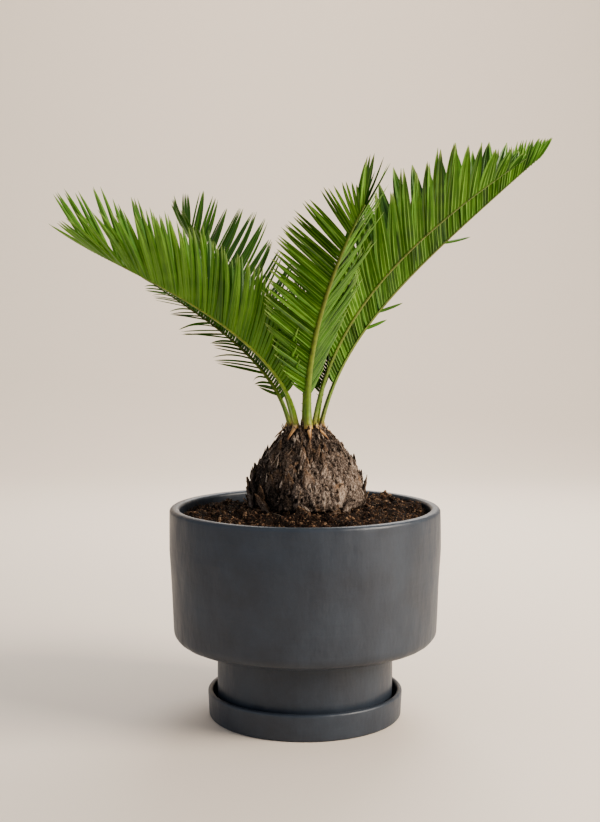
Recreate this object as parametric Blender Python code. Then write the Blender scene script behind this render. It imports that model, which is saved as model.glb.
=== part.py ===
# A young sago palm in a footed stoneware pot that stands in its saucer.
# Metres, +Z up. The origin is the middle of the saucer's flat underside.

import math
import random

import bmesh
import bpy
from mathutils import Vector, noise
from mathutils.bvhtree import BVHTree

# Touching pieces keep this much air between them
GAP = 0.0003
TURNED_SIDES = 48

# The saucer
SAUCER_RADIUS = 0.0870
SAUCER_HEIGHT = 0.0237
SAUCER_WALL = 0.0047
SAUCER_FLOOR = 0.0050
SAUCER_DRAFT = 0.0010
SAUCER_BASE_ROUND = 0.0020

# The pot: a broad bowl on a narrower foot, thrown in one piece
RIM_RADIUS = 0.1200
RIM_HEIGHT = 0.1870
BELLY_RADIUS = 0.1206
BELLY_HEIGHT = 0.1500
HEEL_RADIUS = 0.1172
HEEL_ROUND = 0.0106
BOWL_UNDERSIDE = 0.0682
FOOT_RADIUS = 0.0783
FOOT_ROUND = 0.0015
POT_WALL = 0.0088
LIP_ROUND = 0.0032

# The potting soil, heaped a little round the stem
SOIL_AT_WALL = 0.1765
SOIL_AT_STEM = 0.1868
SOIL_EDGE_SLACK = 0.0006
SOIL_RINGS = 6
SOIL_LUMP = 0.0028
SOIL_LUMPS_PER_METRE = 60

# The swollen stem, armoured with old leaf bases
STEM_FOOT = 0.1760
STEM_SOCKET_RADIUS = 0.0430
STEM_COLLAR = SOIL_AT_STEM + 0.0015
STEM_RADIUS = 0.0462
STEM_WIDEST_AT = 0.1950
STEM_TUCK = 60
STEM_TOP = 0.2575
STEM_TOP_RADIUS = 0.0168
SCALES_FROM = SOIL_AT_STEM + 0.0030
SCALE_COLUMNS = 22
SCALE_ROWS = 8
SCALE_SIZE = 0.0140
SCALE_STANDS_OUT = 0.0042
SCALE_TIP_LIFT = 0.0058
SCALE_TIP_SHARE = 0.22
SCALE_VARIETY = 0.35
SCALE_VARIES_PER_METRE = 90
SCALE_SHRINKS_PER_METRE = 9

# The fronds' ribs
FROND_FOOT_HEIGHT = STEM_TOP + GAP
RIB_SAMPLES = 160
RIB_PROBE_PIECES = 80
PETIOLE_WIDTH = 0.0072
PETIOLE_REACH = 0.09
PETIOLE_STEPS = 7
RIB_WIDTH = 0.0052
RIB_END_WIDTH = 0.0014
RIB_DEPTH_SHARE = 0.85

# The leaflets. The higher its power, the nearer to the rib's tip a row's late or last value
# takes over
LEAFLETS_END = 0.985
LEAFLET_ROOT = (0.18, 0.82)
LATE_POWER = 2
LAST_POWER = 8
FIRST_LEAFLET_LOSS = 0.75
FIRST_LEAFLETS_REACH = 0.13
LEAFLET_WIDTH = 0.0070
LEAFLET_FULL_WIDTH_FROM = 0.055
LEAFLET_NARROWS = 0.6
LEAFLET_THICKNESS = 0.0010
LEAFLET_MIDDLE = 0.55
LEAFLET_TILT = 20
LEAFLET_CLEARANCE = 0.0006
LEAFLET_CUTS = (1.0, 0.8, 0.62, 0.46, 0.34)
SHORTEST_LEAFLET = 0.011
NEIGHBOURS = 6
UNEVEN_LENGTH = 0.07
UNEVEN_ANGLE = 3
UNEVEN_LIFT = 4

# One entry for each frond. foot and tip are the ends of its rib, in millimetres from the
# pot's axis, and the tip has a height above the table. rise and finish are the rib's slope
# in degrees as it leaves the stem and at its tip, and their pulls are how far, in
# millimetres, the rib holds each slope. swing turns the foot sideways. bare is the share of
# the rib with no leaflets, and stout its thickness next to the other ribs. left and right
# are its two rows of leaflets: angle is a leaflet's angle to the rib and vee its lift out of
# the frond's plane, both in degrees for the first leaflets, the late ones and the very last.
# leaflet is the longest one in millimetres, end the share of it that the last ones keep, and
# a high fade keeps them long until nearly there. curl bends the outer half of a leaflet
# forward and up. every=2 leaves out each second leaflet of a row.
FRONDS = {
    "frond_front": dict(
        foot=(3, -17), tip=(48, -88, 446), rise=98, rise_pull=78, finish=44, finish_pull=48,
        swing=1, bare=0.14, stout=1.2, pairs=29,
        left=dict(angle=(34, 14, 32), vee=(0, 62, 82), leaflet=72, end=0.55, fade=2.5,
                  curl=(0.12, 0.05)),
        right=dict(angle=(58, 70, 34), vee=(15, 24, 36), leaflet=67, end=0.15, fade=5,
                   curl=(0.12, 0.05))),
    "frond_left_front": dict(
        foot=(-7, -10), tip=(-187, -45, 415), rise=85, rise_pull=81, finish=30, finish_pull=50,
        swing=3, bare=0.13, stout=1, pairs=34,
        left=dict(angle=(68, 44, 6), vee=(58, 34, 0), leaflet=72, end=0.45, fade=7,
                  curl=(0.25, 0.05)),
        right=dict(angle=(68, 52, 30), vee=(58, 62, 70), leaflet=72, end=0.72, fade=7,
                   curl=(0.25, 0.05))),
    "frond_right_front": dict(
        foot=(7, -6), tip=(196, 20, 495), rise=81, rise_pull=88, finish=34, finish_pull=151,
        swing=3, bare=0.2, stout=0.95, pairs=34,
        left=dict(angle=(62, 60, 18), vee=(62, 62, 62), leaflet=80, end=0.12, fade=3.4,
                  curl=(0.12, 0.05)),
        right=dict(angle=(62, 60, 18), vee=(62, 62, 62), leaflet=78, end=0.12, fade=3.4,
                   curl=(0.12, 0.05))),
    "frond_left_back": dict(
        foot=(-9, 10), tip=(-123, 140, 447), rise=72, rise_pull=82, finish=46, finish_pull=92,
        swing=1, bare=0.14, stout=0.9, pairs=32,
        left=dict(angle=(62, 60, 14), vee=(44, 56, 60), leaflet=76, end=0.32, fade=4,
                  curl=(0.12, 0.05)),
        right=dict(angle=(62, 60, 14), vee=(44, 56, 60), leaflet=78, end=0.5, fade=4,
                   curl=(0.12, 0.05))),
    "frond_right": dict(
        foot=(13.5, 3), tip=(220, 65, 505), rise=76, rise_pull=87, finish=41, finish_pull=173,
        swing=8, bare=0.12, stout=0.9, pairs=36,
        left=dict(angle=(62, 60, 14), vee=(30, 40, 50), leaflet=64, end=0.35, fade=3,
                  curl=(0.12, 0.05)),
        right=dict(angle=(62, 60, 14), vee=(70, 80, 80), leaflet=64, end=0.35, fade=3,
                   curl=(0.12, 0.05))),
    "frond_left": dict(
        foot=(-13, 2), tip=(-161, 60, 403), rise=77, rise_pull=78, finish=45, finish_pull=46,
        swing=0, bare=0.1, stout=0.9, pairs=26,
        left=dict(angle=(42, 24, 10), vee=(-42, -20, 40), leaflet=44, end=0.1, fade=1.5,
                  curl=(0.12, -0.4), every=2),
        right=dict(angle=(70, 60, 20), vee=(82, 5, 5), leaflet=46, end=0.7, fade=4,
                   curl=(0.12, 0.05))),
    "frond_right_back": dict(
        foot=(10, 12), tip=(92, 118, 408), rise=80, rise_pull=80, finish=34, finish_pull=80,
        swing=0, bare=0.14, stout=0.9, pairs=26,
        left=dict(angle=(62, 60, 14), vee=(50, 60, 62), leaflet=56, end=0.5, fade=4,
                  curl=(0.12, 0.05)),
        right=dict(angle=(62, 60, 14), vee=(44, 56, 60), leaflet=58, end=0.5, fade=4,
                   curl=(0.12, 0.05))),
    "frond_back": dict(
        foot=(0, 15), tip=(16, 140, 392), rise=95, rise_pull=79, finish=26, finish_pull=90,
        swing=0, bare=0.14, stout=0.9, pairs=28,
        left=dict(angle=(62, 60, 14), vee=(68, 68, 68), leaflet=50, end=0.5, fade=4,
                  curl=(0.12, 0.05)),
        right=dict(angle=(62, 60, 14), vee=(66, 66, 66), leaflet=52, end=0.5, fade=4,
                   curl=(0.12, 0.05))),
}

# Material colours are linear red, green, blue, with roughness
FINISHES = {
    "glazed_clay": ((0.052, 0.055, 0.062), 0.42),
    "potting_soil": ((0.030, 0.017, 0.010), 0.95),
    "leaf_base_armour": ((0.075, 0.050, 0.033), 0.85),
    "frond_green": ((0.075, 0.170, 0.020), 0.45),
}


def clear_scene():
    for old in list(bpy.data.objects):
        bpy.data.objects.remove(old)


def finish_named(name):
    found = bpy.data.materials.get(name)
    if found:
        return found
    colour, roughness = FINISHES[name]
    made = bpy.data.materials.new(name)
    made.use_nodes = True
    shader = made.node_tree.nodes["Principled BSDF"]
    shader.inputs["Base Color"].default_value = (*colour, 1)
    shader.inputs["Roughness"].default_value = roughness
    return made


def put_in_scene(name, bm, finish, smooth_degrees=None):
    """The finished bmesh as a named object with one material."""
    bmesh.ops.recalc_face_normals(bm, faces=bm.faces)
    if bm.calc_volume(signed=True) < 0:
        bmesh.ops.reverse_faces(bm, faces=bm.faces)
    mesh = bpy.data.meshes.new(name)
    bm.to_mesh(mesh)
    bm.free()
    if smooth_degrees:
        mesh.shade_smooth()
        mesh.set_sharp_from_angle(angle=math.radians(smooth_degrees))
    mesh.materials.append(finish_named(finish))
    made = bpy.data.objects.new(name, mesh)
    bpy.context.scene.collection.objects.link(made)
    return made


def arc(centre, radius, start, end, steps):
    """Points on an arc in the profile's plane, angles in degrees from +X."""
    points = []
    for i in range(steps + 1):
        angle = math.radians(start + (end - start) * i / steps)
        points.append((centre[0] + radius * math.cos(angle), centre[1] + radius * math.sin(angle)))
    return points


def turned(profile):
    """A bmesh turned about +Z from a profile of (radius, height) that starts and ends on the axis."""
    bm = bmesh.new()
    line = [bm.verts.new((radius, 0, height)) for radius, height in profile]
    edges = [bm.edges.new(pair) for pair in zip(line, line[1:])]
    bmesh.ops.spin(bm, geom=line + edges, cent=(0, 0, 0), axis=(0, 0, 1), angle=2 * math.pi,
                   steps=TURNED_SIDES, use_merge=True)
    bmesh.ops.remove_doubles(bm, verts=bm.verts, dist=1e-6)
    return bm


def make_saucer():
    foot_radius = SAUCER_RADIUS - SAUCER_DRAFT
    inner_radius = SAUCER_RADIUS - SAUCER_WALL
    edge_round = SAUCER_WALL / 2
    bend = SAUCER_BASE_ROUND
    profile = [(0, 0)]
    profile += arc((foot_radius - bend, bend), bend, -90, 0, 2)
    profile += arc((SAUCER_RADIUS - edge_round, SAUCER_HEIGHT - edge_round), edge_round, 0, 180, 6)
    profile += arc((inner_radius - bend, SAUCER_FLOOR + bend), bend, 0, -90, 2)
    profile += [(0, SAUCER_FLOOR)]
    put_in_scene("saucer", turned(profile), "glazed_clay", 35)


def pot_inside():
    """The inner profile, from the lip down to the middle of the floor."""
    inner_rim = RIM_RADIUS - POT_WALL
    inner_heel = HEEL_RADIUS - POT_WALL
    inner_foot = FOOT_RADIUS - POT_WALL
    shelf = BOWL_UNDERSIDE + POT_WALL
    floor = SAUCER_FLOOR + GAP + POT_WALL
    profile = [(BELLY_RADIUS - POT_WALL, BELLY_HEIGHT)]
    profile += arc((inner_heel - HEEL_ROUND, shelf + HEEL_ROUND), HEEL_ROUND, 0, -90, 3)
    profile += [(inner_foot, shelf), (inner_foot, floor), (0, floor)]
    return inner_rim, profile


def make_pot():
    base = SAUCER_FLOOR + GAP
    inner_rim, inside = pot_inside()
    profile = [(0, base)]
    profile += arc((FOOT_RADIUS - FOOT_ROUND, base + FOOT_ROUND), FOOT_ROUND, -90, 0, 2)
    profile += [(FOOT_RADIUS, BOWL_UNDERSIDE)]
    profile += arc((HEEL_RADIUS - HEEL_ROUND, BOWL_UNDERSIDE + HEEL_ROUND), HEEL_ROUND, -90, 0, 4)
    profile += [(BELLY_RADIUS, BELLY_HEIGHT)]
    lip_height = RIM_HEIGHT - LIP_ROUND
    profile += arc((RIM_RADIUS - LIP_ROUND, lip_height), LIP_ROUND, 0, 90, 3)
    profile += arc((inner_rim + LIP_ROUND, lip_height), LIP_ROUND, 90, 180, 3)
    put_in_scene("pot", turned(profile + inside), "glazed_clay", 35)


def soil_height(radius):
    """The heap's height at a distance from the axis, before its lumps."""
    wall = RIM_RADIUS - POT_WALL
    share = (wall - radius) / (wall - STEM_SOCKET_RADIUS)
    return SOIL_AT_WALL + (SOIL_AT_STEM - SOIL_AT_WALL) * math.sin(share * math.pi / 2)


def make_soil():
    """Fills the pot's inside a gap clear of it, with a socket for the stem's foot."""
    socket = STEM_SOCKET_RADIUS + GAP
    edge = RIM_RADIUS - POT_WALL - GAP - SOIL_EDGE_SLACK
    ring_step = (edge - socket) / SOIL_RINGS
    top = []
    for i in range(SOIL_RINGS + 1):
        radius = socket + ring_step * i
        top.append((radius, soil_height(radius)))
    inside = [(radius - GAP if radius else 0, height + GAP) for radius, height in pot_inside()[1]]
    profile = [(0, STEM_FOOT - GAP), (socket, STEM_FOOT - GAP)] + top + inside
    bm = turned(profile)
    for vert in bm.verts:
        from_axis = math.hypot(vert.co.x, vert.co.y)
        on_top = vert.co.z > SOIL_AT_WALL - GAP
        if on_top and from_axis > socket + ring_step / 2:
            vert.co.z += SOIL_LUMP * noise.noise(vert.co * SOIL_LUMPS_PER_METRE)
    put_in_scene("soil", bm, "potting_soil")


def stem_radius(height):
    """The stem's outline without its scales: a quarter cosine from its widest ring to its top."""
    share = max(0.0, (height - STEM_WIDEST_AT) / (STEM_TOP - STEM_WIDEST_AT))
    narrowing = STEM_RADIUS - STEM_TOP_RADIUS
    tuck = STEM_TUCK * max(0.0, STEM_WIDEST_AT - height) ** 2
    return STEM_TOP_RADIUS + narrowing * math.cos(share * math.pi / 2) - tuck


def ring_of(bm, radius, height, turn):
    ring = []
    for i in range(SCALE_COLUMNS):
        angle = (i + turn) * 2 * math.pi / SCALE_COLUMNS
        ring.append(bm.verts.new((radius * math.cos(angle), radius * math.sin(angle), height)))
    return ring


def bridge(bm, lower, upper):
    count = len(lower)
    return [bm.faces.new((lower[i], lower[(i + 1) % count], upper[(i + 1) % count], upper[i]))
            for i in range(count)]


def make_stem():
    """Spiral rows of old leaf bases, each drawn out of one face of the stem to an upturned tip."""
    bm = bmesh.new()
    foot = ring_of(bm, STEM_SOCKET_RADIUS, STEM_FOOT, 0)
    collar = ring_of(bm, STEM_SOCKET_RADIUS, STEM_COLLAR, 0)
    bm.faces.new(list(reversed(foot)))
    bridge(bm, foot, collar)
    scales = []
    below = collar
    for row in range(SCALE_ROWS + 1):
        share = row / SCALE_ROWS
        height = SCALES_FROM + (STEM_TOP - SCALES_FROM) * math.sin(share * math.pi / 2)
        ring = ring_of(bm, stem_radius(height), height, row / 2)
        faces = bridge(bm, below, ring)
        if row:
            scales += faces
        below = ring
    bm.faces.new(below)
    for drawn in bmesh.ops.extrude_discrete_faces(bm, faces=scales)["faces"]:
        middle = drawn.calc_center_median()
        outward = Vector((middle.x, middle.y, 0)).normalized()
        varied = 1 + SCALE_VARIETY * noise.noise(middle * SCALE_VARIES_PER_METRE)
        varied -= SCALE_SHRINKS_PER_METRE * max(0.0, middle.z - STEM_WIDEST_AT)
        size = math.sqrt(drawn.calc_area()) / SCALE_SIZE * varied
        tip = middle + outward * SCALE_STANDS_OUT * size
        tip.z = min(tip.z + SCALE_TIP_LIFT * size, STEM_TOP - GAP)
        for vert in drawn.verts:
            vert.co = tip + (vert.co - middle) * SCALE_TIP_SHARE
            vert.co.z = min(vert.co.z, STEM_TOP)
    put_in_scene("stem", bm, "leaf_base_armour")


def heading_of(frond):
    """The level direction from the rib's foot to its tip, as an angle."""
    (foot_x, foot_y), (tip_x, tip_y, _) = frond["foot"], frond["tip"]
    return math.atan2(tip_y - foot_y, tip_x - foot_x)


def direction(heading, slope_degrees):
    slope = math.radians(slope_degrees)
    level = math.cos(slope)
    return Vector((level * math.cos(heading), level * math.sin(heading), math.sin(slope)))


def rib_points(frond):
    """The rib's line, as a cubic curve from the stem to the frond's tip."""
    mm = 0.001
    swing = math.radians(frond["swing"])
    heading = heading_of(frond)
    start = Vector((*(value * mm for value in frond["foot"]), FROND_FOOT_HEIGHT))
    end = Vector(frond["tip"]) * mm
    rise = start + direction(heading + swing, frond["rise"]) * frond["rise_pull"] * mm
    finish = end - direction(heading - swing, frond["finish"]) * frond["finish_pull"] * mm
    points = []
    for i in range(RIB_SAMPLES + 1):
        t = i / RIB_SAMPLES
        u = 1 - t
        points.append(start * u**3 + rise * 3 * u * u * t + finish * 3 * u * t * t + end * t**3)
    return points


def along_row(degrees, leafy):
    """An angle at a share of the leafy part of the rib, from its first, late and last values."""
    first, late, last = degrees
    return first + (late - first) * leafy**LATE_POWER + (last - late) * leafy**LAST_POWER


class Rib:
    """A frond's rib, read by distance along it."""

    def __init__(self, frond):
        self.frond = frond
        self.points = rib_points(frond)
        self.along = [0.0]
        for a, b in zip(self.points, self.points[1:]):
            self.along.append(self.along[-1] + (b - a).length)
        self.length = self.along[-1]

    def frame(self, share):
        """Place, forward, left and up of the rib at a share of its length."""
        wanted = share * self.length
        i = min(range(RIB_SAMPLES), key=lambda k: abs(self.along[k] - wanted))
        i = max(1, min(i, RIB_SAMPLES - 1))
        forward = (self.points[i + 1] - self.points[i - 1]).normalized()
        place = self.points[i] + forward * (wanted - self.along[i])
        heading = heading_of(self.frond)
        left = Vector((-math.sin(heading), math.cos(heading), 0))
        left = (left - forward * left.dot(forward)).normalized()
        return place, forward, left, forward.cross(left)

    def width(self, share):
        """Broad at the stem, then an even taper to the tip."""
        swelling = (PETIOLE_WIDTH - RIB_WIDTH) * math.exp(-share / PETIOLE_REACH)
        tapered = RIB_END_WIDTH + (RIB_WIDTH - RIB_END_WIDTH) * (1 - share)
        return (tapered + swelling) * self.frond["stout"]

    def corners(self, share):
        """The rib's four corners at a share of its length. The foot is cut level."""
        place, forward, left, up = self.frame(share)
        half_width = self.width(share) / 2
        half_depth = half_width * RIB_DEPTH_SHARE
        points = [place + left * half_width * a + up * half_depth * b
                  for a, b in ((1, 1), (1, -1), (-1, -1), (-1, 1))]
        if share == 0:
            points = [p - forward * (p.z - FROND_FOOT_HEIGHT) / forward.z for p in points]
        return points


def row_of(frond, side):
    return frond["left"] if side > 0 else frond["right"]


def leaflet_length(row, leafy):
    """A leaflet's length in metres, at a share of the leafy part of the rib."""
    grown = 1 - FIRST_LEAFLET_LOSS * math.exp(-leafy / FIRST_LEAFLETS_REACH)
    kept = 1 - (1 - row["end"]) * leafy ** row["fade"]
    return row["leaflet"] * 0.001 * grown * kept


def unevenness(rib, share, side):
    """Three numbers from -1 to 1 that belong to one leaflet."""
    dice = random.Random(round(rib.length * 1e6) + round(share * 1e4) * side)
    return [dice.uniform(-1, 1) for _ in range(3)]


def leaflet_blade(rib, share, side, leafy, cut, swell=0.0):
    """The corners of one leaflet beyond its root: four at its middle, then its point."""
    row = row_of(rib.frond, side)
    place, forward, left, up = rib.frame(share)
    longer, wider_angle, lifted = unevenness(rib, share, side)
    angle = math.radians(along_row(row["angle"], leafy) + UNEVEN_ANGLE * wider_angle)
    vee = math.radians(along_row(row["vee"], leafy) + UNEVEN_LIFT * lifted)
    outward = left * side * math.cos(vee) + up * math.sin(vee)
    along = forward * math.cos(angle) + outward * math.sin(angle)
    length = leaflet_length(row, leafy) * (1 + UNEVEN_LENGTH * longer) * cut
    across = (forward - along * forward.dot(along)).normalized()
    thickness = across.cross(along) * side
    tilt = math.radians(LEAFLET_TILT)
    across, thickness = (across * math.cos(tilt) - thickness * math.sin(tilt),
                         thickness * math.cos(tilt) + across * math.sin(tilt))
    narrowing = (min(1.0, length / LEAFLET_FULL_WIDTH_FROM) * math.sin(angle)) ** LEAFLET_NARROWS
    half_width = (LEAFLET_WIDTH * narrowing + swell) / 2
    half_thick = (max(LEAFLET_THICKNESS, length / 100) + swell) / 2
    root = place + left * side * rib.width(share) / 2
    middle = root + along * length * LEAFLET_MIDDLE
    curl_forward, curl_up = row["curl"]
    curl = forward * curl_forward + Vector((0, 0, curl_up))
    tip = middle + (along + curl).normalized() * (length * (1 - LEAFLET_MIDDLE) + swell)
    ring = [middle + across * half_width * a + thickness * half_thick * b
            for a, b in ((-1, 1), (-1, -1), (1, -1), (1, 1))]
    return ring, tip, length


def blade_triangles(root, ring, tip):
    """Corner points and faces of a leaflet as a loose closed shape, for the clearance test."""
    points = [*root, *ring, tip]
    faces = [(i, (i + 1) % 4, 4 + (i + 1) % 4, 4 + i) for i in range(4)]
    faces += [(4 + i, 4 + (i + 1) % 4, 8) for i in range(4)]
    return points, faces + [(3, 2, 1, 0)]


def tree_of(shapes):
    """One search tree over many loose shapes."""
    points, faces = [], []
    for shape_points, shape_faces in shapes:
        base = len(points)
        points += shape_points
        faces += [tuple(base + i for i in face) for face in shape_faces]
    return BVHTree.FromPolygons(points, faces)


def rib_shape(rib):
    """The rib alone, as a loose shape for the clearance test."""
    points, faces = [], []
    for i in range(RIB_PROBE_PIECES + 1):
        points += rib.corners(i / RIB_PROBE_PIECES)
    for i in range(RIB_PROBE_PIECES):
        for k in range(4):
            a, b = 4 * i + k, 4 * i + (k + 1) % 4
            faces.append((a, b, b + 4, a + 4))
    return points, faces


def leaflet_stations(frond):
    """Start and end of each leaflet's root, and its share of the leafy part."""
    pairs, bare = frond["pairs"], frond["bare"]
    step = (LEAFLETS_END - bare) / pairs
    root_from, root_to = LEAFLET_ROOT
    stations = []
    for i in range(pairs):
        start = bare + step * i
        stations.append((start + root_from * step, start + root_to * step, i / (pairs - 1)))
    return stations


def place_leaflets(rib, others):
    """Every leaflet that clears the other fronds and its own neighbours, cut short where it must be."""
    placed, own = {}, []
    other_tree = tree_of(others)
    for number, (start, end, leafy) in enumerate(leaflet_stations(rib.frond)):
        near, far = rib.corners(start), rib.corners(end)
        middle = (start + end) / 2
        for side, (top, bottom) in ((1, (0, 1)), (-1, (3, 2))):
            if number % row_of(rib.frond, side).get("every", 1):
                continue
            root = [near[top], near[bottom], far[bottom], far[top]]
            for cut in LEAFLET_CUTS:
                ring, tip, length = leaflet_blade(rib, middle, side, leafy, cut, LEAFLET_CLEARANCE)
                if length < SHORTEST_LEAFLET:
                    break
                probe_tree = BVHTree.FromPolygons(*blade_triangles(root, ring, tip))
                touches_own = own and probe_tree.overlap(tree_of(own[-NEIGHBOURS:]))
                if touches_own or probe_tree.overlap(other_tree):
                    continue
                ring, tip, _ = leaflet_blade(rib, middle, side, leafy, cut)
                placed[number, side] = (ring, tip)
                own.append(blade_triangles(root, ring, tip))
                break
    return placed, own


def make_frond(name, rib, placed):
    """One closed solid: a four-sided rib with each leaflet drawn out of a face of its side."""
    bm = bmesh.new()
    stations = leaflet_stations(rib.frond)
    bare = rib.frond["bare"]
    shares = [bare * i / PETIOLE_STEPS for i in range(PETIOLE_STEPS)]
    leaflet_starts = {}
    for number, (start, end, _) in enumerate(stations):
        leaflet_starts[len(shares)] = number
        shares += [start, end]
    shares.append(1.0)
    rings = [[bm.verts.new(point) for point in rib.corners(share)] for share in shares]
    bm.faces.new(rings[0])
    bm.faces.new(list(reversed(rings[-1])))
    for i, (near, far) in enumerate(zip(rings, rings[1:])):
        number = leaflet_starts.get(i)
        for a, b, side in ((0, 1, 1), (1, 2, None), (3, 2, -1), (3, 0, None)):
            root = (near[a], near[b], far[b], far[a])
            if (number, side) in placed:
                draw_leaflet(bm, root, *placed[number, side])
            else:
                bm.faces.new(root)
    # Split along its better diagonals, a twisted blade stays thin and doesn't cut its neighbour
    bmesh.ops.triangulate(bm, faces=bm.faces, quad_method="BEAUTY")
    put_in_scene(name, bm, "frond_green")


def draw_leaflet(bm, root, ring, tip):
    """Faces from a root on the rib's side, through the leaflet's middle, to its point."""
    middle = [bm.verts.new(point) for point in ring]
    point = bm.verts.new(tip)
    for i in range(4):
        j = (i + 1) % 4
        bm.faces.new((root[i], root[j], middle[j], middle[i]))
        bm.faces.new((middle[i], middle[j], point))


def make_fronds():
    ribs = {name: Rib(frond) for name, frond in FRONDS.items()}
    done = []
    for name, rib in ribs.items():
        other_ribs = [rib_shape(other) for key, other in ribs.items() if key != name]
        placed, own = place_leaflets(rib, other_ribs + done)
        make_frond(name, rib, placed)
        done += own


def main():
    clear_scene()
    make_saucer()
    make_pot()
    make_soil()
    make_stem()
    make_fronds()


main()
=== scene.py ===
import random
from math import atan2, cos, exp, hypot, pi, radians, sin, sqrt

import bmesh
import bpy
from mathutils import Matrix, Vector, noise
from mathutils.bvhtree import BVHTree


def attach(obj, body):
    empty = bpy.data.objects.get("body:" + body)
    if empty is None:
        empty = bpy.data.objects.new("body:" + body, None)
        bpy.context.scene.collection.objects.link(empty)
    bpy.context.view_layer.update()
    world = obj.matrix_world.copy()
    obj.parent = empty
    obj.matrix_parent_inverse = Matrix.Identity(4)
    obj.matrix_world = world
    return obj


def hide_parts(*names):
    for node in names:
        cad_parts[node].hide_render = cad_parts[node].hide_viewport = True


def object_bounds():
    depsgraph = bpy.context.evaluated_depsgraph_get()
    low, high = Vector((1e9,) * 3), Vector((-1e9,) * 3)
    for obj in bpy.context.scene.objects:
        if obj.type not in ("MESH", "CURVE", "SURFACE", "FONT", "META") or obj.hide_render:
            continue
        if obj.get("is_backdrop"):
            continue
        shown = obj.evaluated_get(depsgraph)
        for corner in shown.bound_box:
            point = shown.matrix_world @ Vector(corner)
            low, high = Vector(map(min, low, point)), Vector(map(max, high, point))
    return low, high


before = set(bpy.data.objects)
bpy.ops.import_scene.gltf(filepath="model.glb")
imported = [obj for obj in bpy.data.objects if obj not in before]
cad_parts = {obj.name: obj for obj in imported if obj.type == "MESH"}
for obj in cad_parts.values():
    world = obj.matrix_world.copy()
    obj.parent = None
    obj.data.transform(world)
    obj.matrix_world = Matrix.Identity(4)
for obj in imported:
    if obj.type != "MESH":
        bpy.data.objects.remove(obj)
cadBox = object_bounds()  # the solids' own box, before anything is dressed
mm = 0.001
goldenAngle = radians(137.508)
noise.seed_set(1)  # noise_vector would start from the clock
upward = Vector((0, 0, 1))
print("frame loaded:", len(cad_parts), "solids")


# Helpers

def linear(hexColour):
    parts = [int(hexColour[i:i + 2], 16) / 255 for i in (1, 3, 5)]
    return (*[p / 12.92 if p <= 0.04045 else ((p + 0.055) / 1.055) ** 2.4 for p in parts], 1)


def clamp(value):
    return max(0.0, min(1.0, value))


def level(angle):
    return Vector((cos(angle), sin(angle), 0))


# Sets a node's inputs, by name or number, to a value, or links them from a socket or from
# another node's first live output
def feed(node, inputs):
    for key, value in inputs.items():
        if isinstance(value, bpy.types.Node):
            value = next(output for output in value.outputs if output.enabled)
        if isinstance(value, bpy.types.NodeSocket):
            node.id_data.links.new(value, node.inputs[key])
        else:
            node.inputs[key].default_value = value


# What adds a node to a tree, with its settings and inputs. Its kind goes without the family, which
# is the first that has one. A colour ramp takes stops, as (place, hex colour)
def nodeAdder(tree):
    families = ["ShaderNode"] if tree.type == "SHADER" else ["GeometryNode", "FunctionNode", "ShaderNode", ""]

    def add(kind, inputs=None, stops=None, **settings):
        node = tree.nodes.new(next(f + kind for f in families if hasattr(bpy.types, f + kind)))
        for key, value in settings.items():
            setattr(node, key, value)
        feed(node, inputs or {})
        if stops:
            elements = node.color_ramp.elements
            elements.remove(elements[1])
            elements[0].position, elements[0].color = stops[0][0], linear(stops[0][1])
            for place, colour in stops[1:]:
                elements.new(place).color = linear(colour)
        return node
    return add


# A starting value or node, and others added to it by their weights
def summed(add, total, *parts):
    for part, weight in parts:
        total = add("Math", {0: part, 1: weight, 2: total}, operation="MULTIPLY_ADD")
    return total


# A new material, what adds its nodes and its shader, then the marks it reads from its pieces, and
# its noises, each as (size in millimetres, detail, roughness), and how it is stretched if it is
def newMaterial(name, marks, noises, **values):
    material = bpy.data.materials.new(name)
    material.use_nodes = True
    shader = material.node_tree.nodes["Principled BSDF"]
    feed(shader, {socket.replace("_", " "): value for socket, value in values.items()})
    add = nodeAdder(material.node_tree)
    place = add("TexCoord").outputs["Object"]
    read = [add("Attribute", attribute_name=mark).outputs["Fac"] for mark in marks]
    drawn = []
    for size, detail, rough, *scale in noises:
        vector = add("Mapping", {0: place, "Scale": scale[0]}) if scale else place
        drawn.append(add("TexNoise", {"Vector": vector, "Scale": 1000 / size, "Detail": detail,
                                      "Roughness": rough}))
    return material, add, shader, *read, *drawn


def newObject(name, mesh, *materials):
    made = bpy.data.objects.new(name, mesh)
    bpy.context.scene.collection.objects.link(made)
    for material in materials:
        mesh.materials.append(material)
    return made


# A new object from a bmesh, its faces turned outwards
def shaped(name, bm, smoothDegrees, *materials):
    bmesh.ops.remove_doubles(bm, verts=bm.verts, dist=1e-6)
    bmesh.ops.recalc_face_normals(bm, faces=bm.faces)
    if bm.calc_volume(signed=True) < 0:
        bmesh.ops.reverse_faces(bm, faces=bm.faces)
    mesh = bpy.data.meshes.new(name)
    bm.to_mesh(mesh)
    bm.free()
    if smoothDegrees:
        mesh.shade_smooth()
        mesh.set_sharp_from_angle(angle=radians(smoothDegrees))
    return newObject(name, mesh, *materials)


# One point of a cloud, from millimetres. Across and along are directions, and turn it
def pointRow(place, across, along, size, bend, **marks):
    turn = Matrix((across, along, across.cross(along))).transposed().to_euler()
    return {"place": place * mm, "turn": turn, "size": Vector(size) * mm, "bend": bend * mm, **marks}


# A mesh of loose points, one for each row, with the row's other values as attributes
def pointCloud(name, rows):
    mesh = bpy.data.meshes.new(name)
    mesh.from_pydata([row["place"] for row in rows], [], [])
    for key in [key for key in rows[0] if key != "place"]:
        values, kind, part = [row[key] for row in rows], "FLOAT", "value"
        if not isinstance(values[0], (int, float)):
            values, kind, part = [number for value in values for number in value], "FLOAT_VECTOR", "vector"
        mesh.attributes.new(key, kind, "POINT").data.foreach_set(part, values)
    return newObject(name, mesh)


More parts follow.
